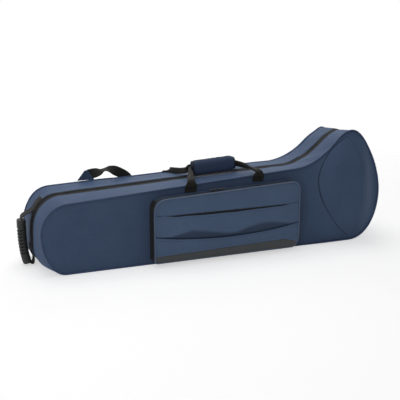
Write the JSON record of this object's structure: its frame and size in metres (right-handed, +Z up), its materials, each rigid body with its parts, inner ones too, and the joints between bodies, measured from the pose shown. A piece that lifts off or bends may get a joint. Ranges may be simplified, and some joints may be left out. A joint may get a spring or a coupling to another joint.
{
  "type": "trombone case",
  "caption": "Soft-sided trombone case with a flared bell end, front pocket, carry handle, end grip and shoulder straps.",
  "frame": {"origin": "on the underside, in the plane where the two halves part, half-way along the front face", "axes": "+X from the slide end to the bell end, +Y from the front with the pocket to the back with the straps, +Z up as it stands on its long side"},
  "size_m": [0.9364, 0.2379, 0.2967],
  "materials": {
    "navy_nylon": "matt woven nylon, navy",
    "piping_vinyl": "satin vinyl-covered piping, dark navy",
    "black_webbing": "matt woven webbing, black",
    "charcoal_trim": "grained vinyl, charcoal",
    "black_rubber": "moulded rubber, black",
    "black_plastic": "satin moulded plastic, black",
    "silver_metal": "plated zinc, silver",
    "dark_plush": "short-pile plush over foam, charcoal"
  },
  "bodies": {
    "back_half": {"back_shell": "navy_nylon", "back_piping": "piping_vinyl", "back_bell_panel": "navy_nylon", "back_zip_tape": "black_webbing", "hinge_tape": "black_webbing", "back_foam": "dark_plush", "mouthpiece_holder": "dark_plush", "bell_strap": "black_webbing", "rear_handle_foot_left": "black_webbing", "rear_handle_foot_right": "black_webbing", "end_grip": "black_rubber", "end_strap_upper": "black_webbing", "end_strap_lower": "black_webbing", "strap_tab_upper": "navy_nylon", "strap_tab_lower": "navy_nylon", "shoulder_web_upper": "black_webbing", "shoulder_web_lower": "black_webbing", "strap_buckle_upper": "black_plastic", "strap_buckle_lower": "black_plastic", "shoulder_pad_upper": "black_webbing", "shoulder_pad_lower": "black_webbing", "anchor_patch": "black_webbing"},
    "lid": {"front_shell": "navy_nylon", "front_piping": "piping_vinyl", "front_bell_panel": "navy_nylon", "front_zip_tape": "black_webbing", "front_foam": "dark_plush", "slide_strap_1": "black_webbing", "slide_strap_2": "black_webbing", "pocket_gusset": "navy_nylon", "pocket_zip_tape": "black_webbing", "front_handle_foot_left": "black_webbing", "front_handle_foot_right": "black_webbing"},
    "front_handle": {"front_handle_strap": "black_webbing", "handle_wrap": "navy_nylon"},
    "rear_handle": {"rear_handle_strap": "black_webbing"},
    "pocket_front": {"pocket_panel": "navy_nylon", "pocket_piping": "piping_vinyl", "pocket_panel_tape": "black_webbing", "upper_slot_panel": "navy_nylon", "lower_slot_panel": "navy_nylon", "bottom_trim": "charcoal_trim"},
    "pocket_slide_left": {"pocket_slider_left": "black_plastic"},
    "pocket_slide_right": {"pocket_slider_right": "black_plastic"},
    "pocket_pull_left": {"pocket_puller_left": "black_plastic"},
    "pocket_pull_right": {"pocket_puller_right": "black_plastic"},
    "zip_slide": {"main_slider": "silver_metal"},
    "zip_pull": {"main_puller": "silver_metal"}
  },
  "joints": [
    {"name": "lid_hinge", "type": "hinge", "parent": "back_half", "child": "lid", "pos_m": [0, 0, -0.0002], "axis": [1, 0, 0], "range_deg": [0, 175]},
    {"name": "front_handle_fold", "type": "hinge", "parent": "lid", "child": "front_handle", "pos_m": [-0.089, -0.08898, 0.18239], "axis": [0.9976, 0.0188, 0.066], "range_deg": [0, 105]},
    {"name": "rear_handle_fold", "type": "hinge", "parent": "back_half", "child": "rear_handle", "pos_m": [-0.089, 0.08879, 0.18651], "axis": [-0.9986, 0.0189, -0.0494], "range_deg": [0, 140]},
    {"name": "pocket_open", "type": "hinge", "parent": "lid", "child": "pocket_front", "pos_m": [0.00039, -0.102, 0.0098], "axis": [0.9998, 0.0189, 0], "range_deg": [0, 40]},
    {"name": "pocket_slider_left_travel", "type": "slide", "parent": "lid", "child": "pocket_slide_left", "axis": [-0.9989, -0.0189, -0.044], "range_m": [0, 0.118]},
    {"name": "pocket_slider_right_travel", "type": "slide", "parent": "lid", "child": "pocket_slide_right", "axis": [0.9989, 0.0189, 0.044], "range_m": [0, 0.175]},
    {"name": "pocket_pull_left_lift", "type": "hinge", "parent": "pocket_slide_left", "child": "pocket_pull_left", "pos_m": [-0.02865, -0.10254, 0.17543], "axis": [-0.0189, 0.9998, 0], "range_deg": [0, 120]},
    {"name": "pocket_pull_right_lift", "type": "hinge", "parent": "pocket_slide_right", "child": "pocket_pull_right", "pos_m": [-0.02603, -0.1025, 0.17554], "axis": [0.0189, -0.9998, 0], "range_deg": [0, 120]},
    {"name": "main_slider_travel", "type": "slide", "parent": "back_half", "child": "zip_slide", "axis": [1, 0, 0], "range_m": [0, 0.024]},
    {"name": "main_pull_drop", "type": "hinge", "parent": "zip_slide", "child": "zip_pull", "pos_m": [0.31, 0, 0.0018], "axis": [0, 1, 0], "range_deg": [0, 90]}
  ]
}
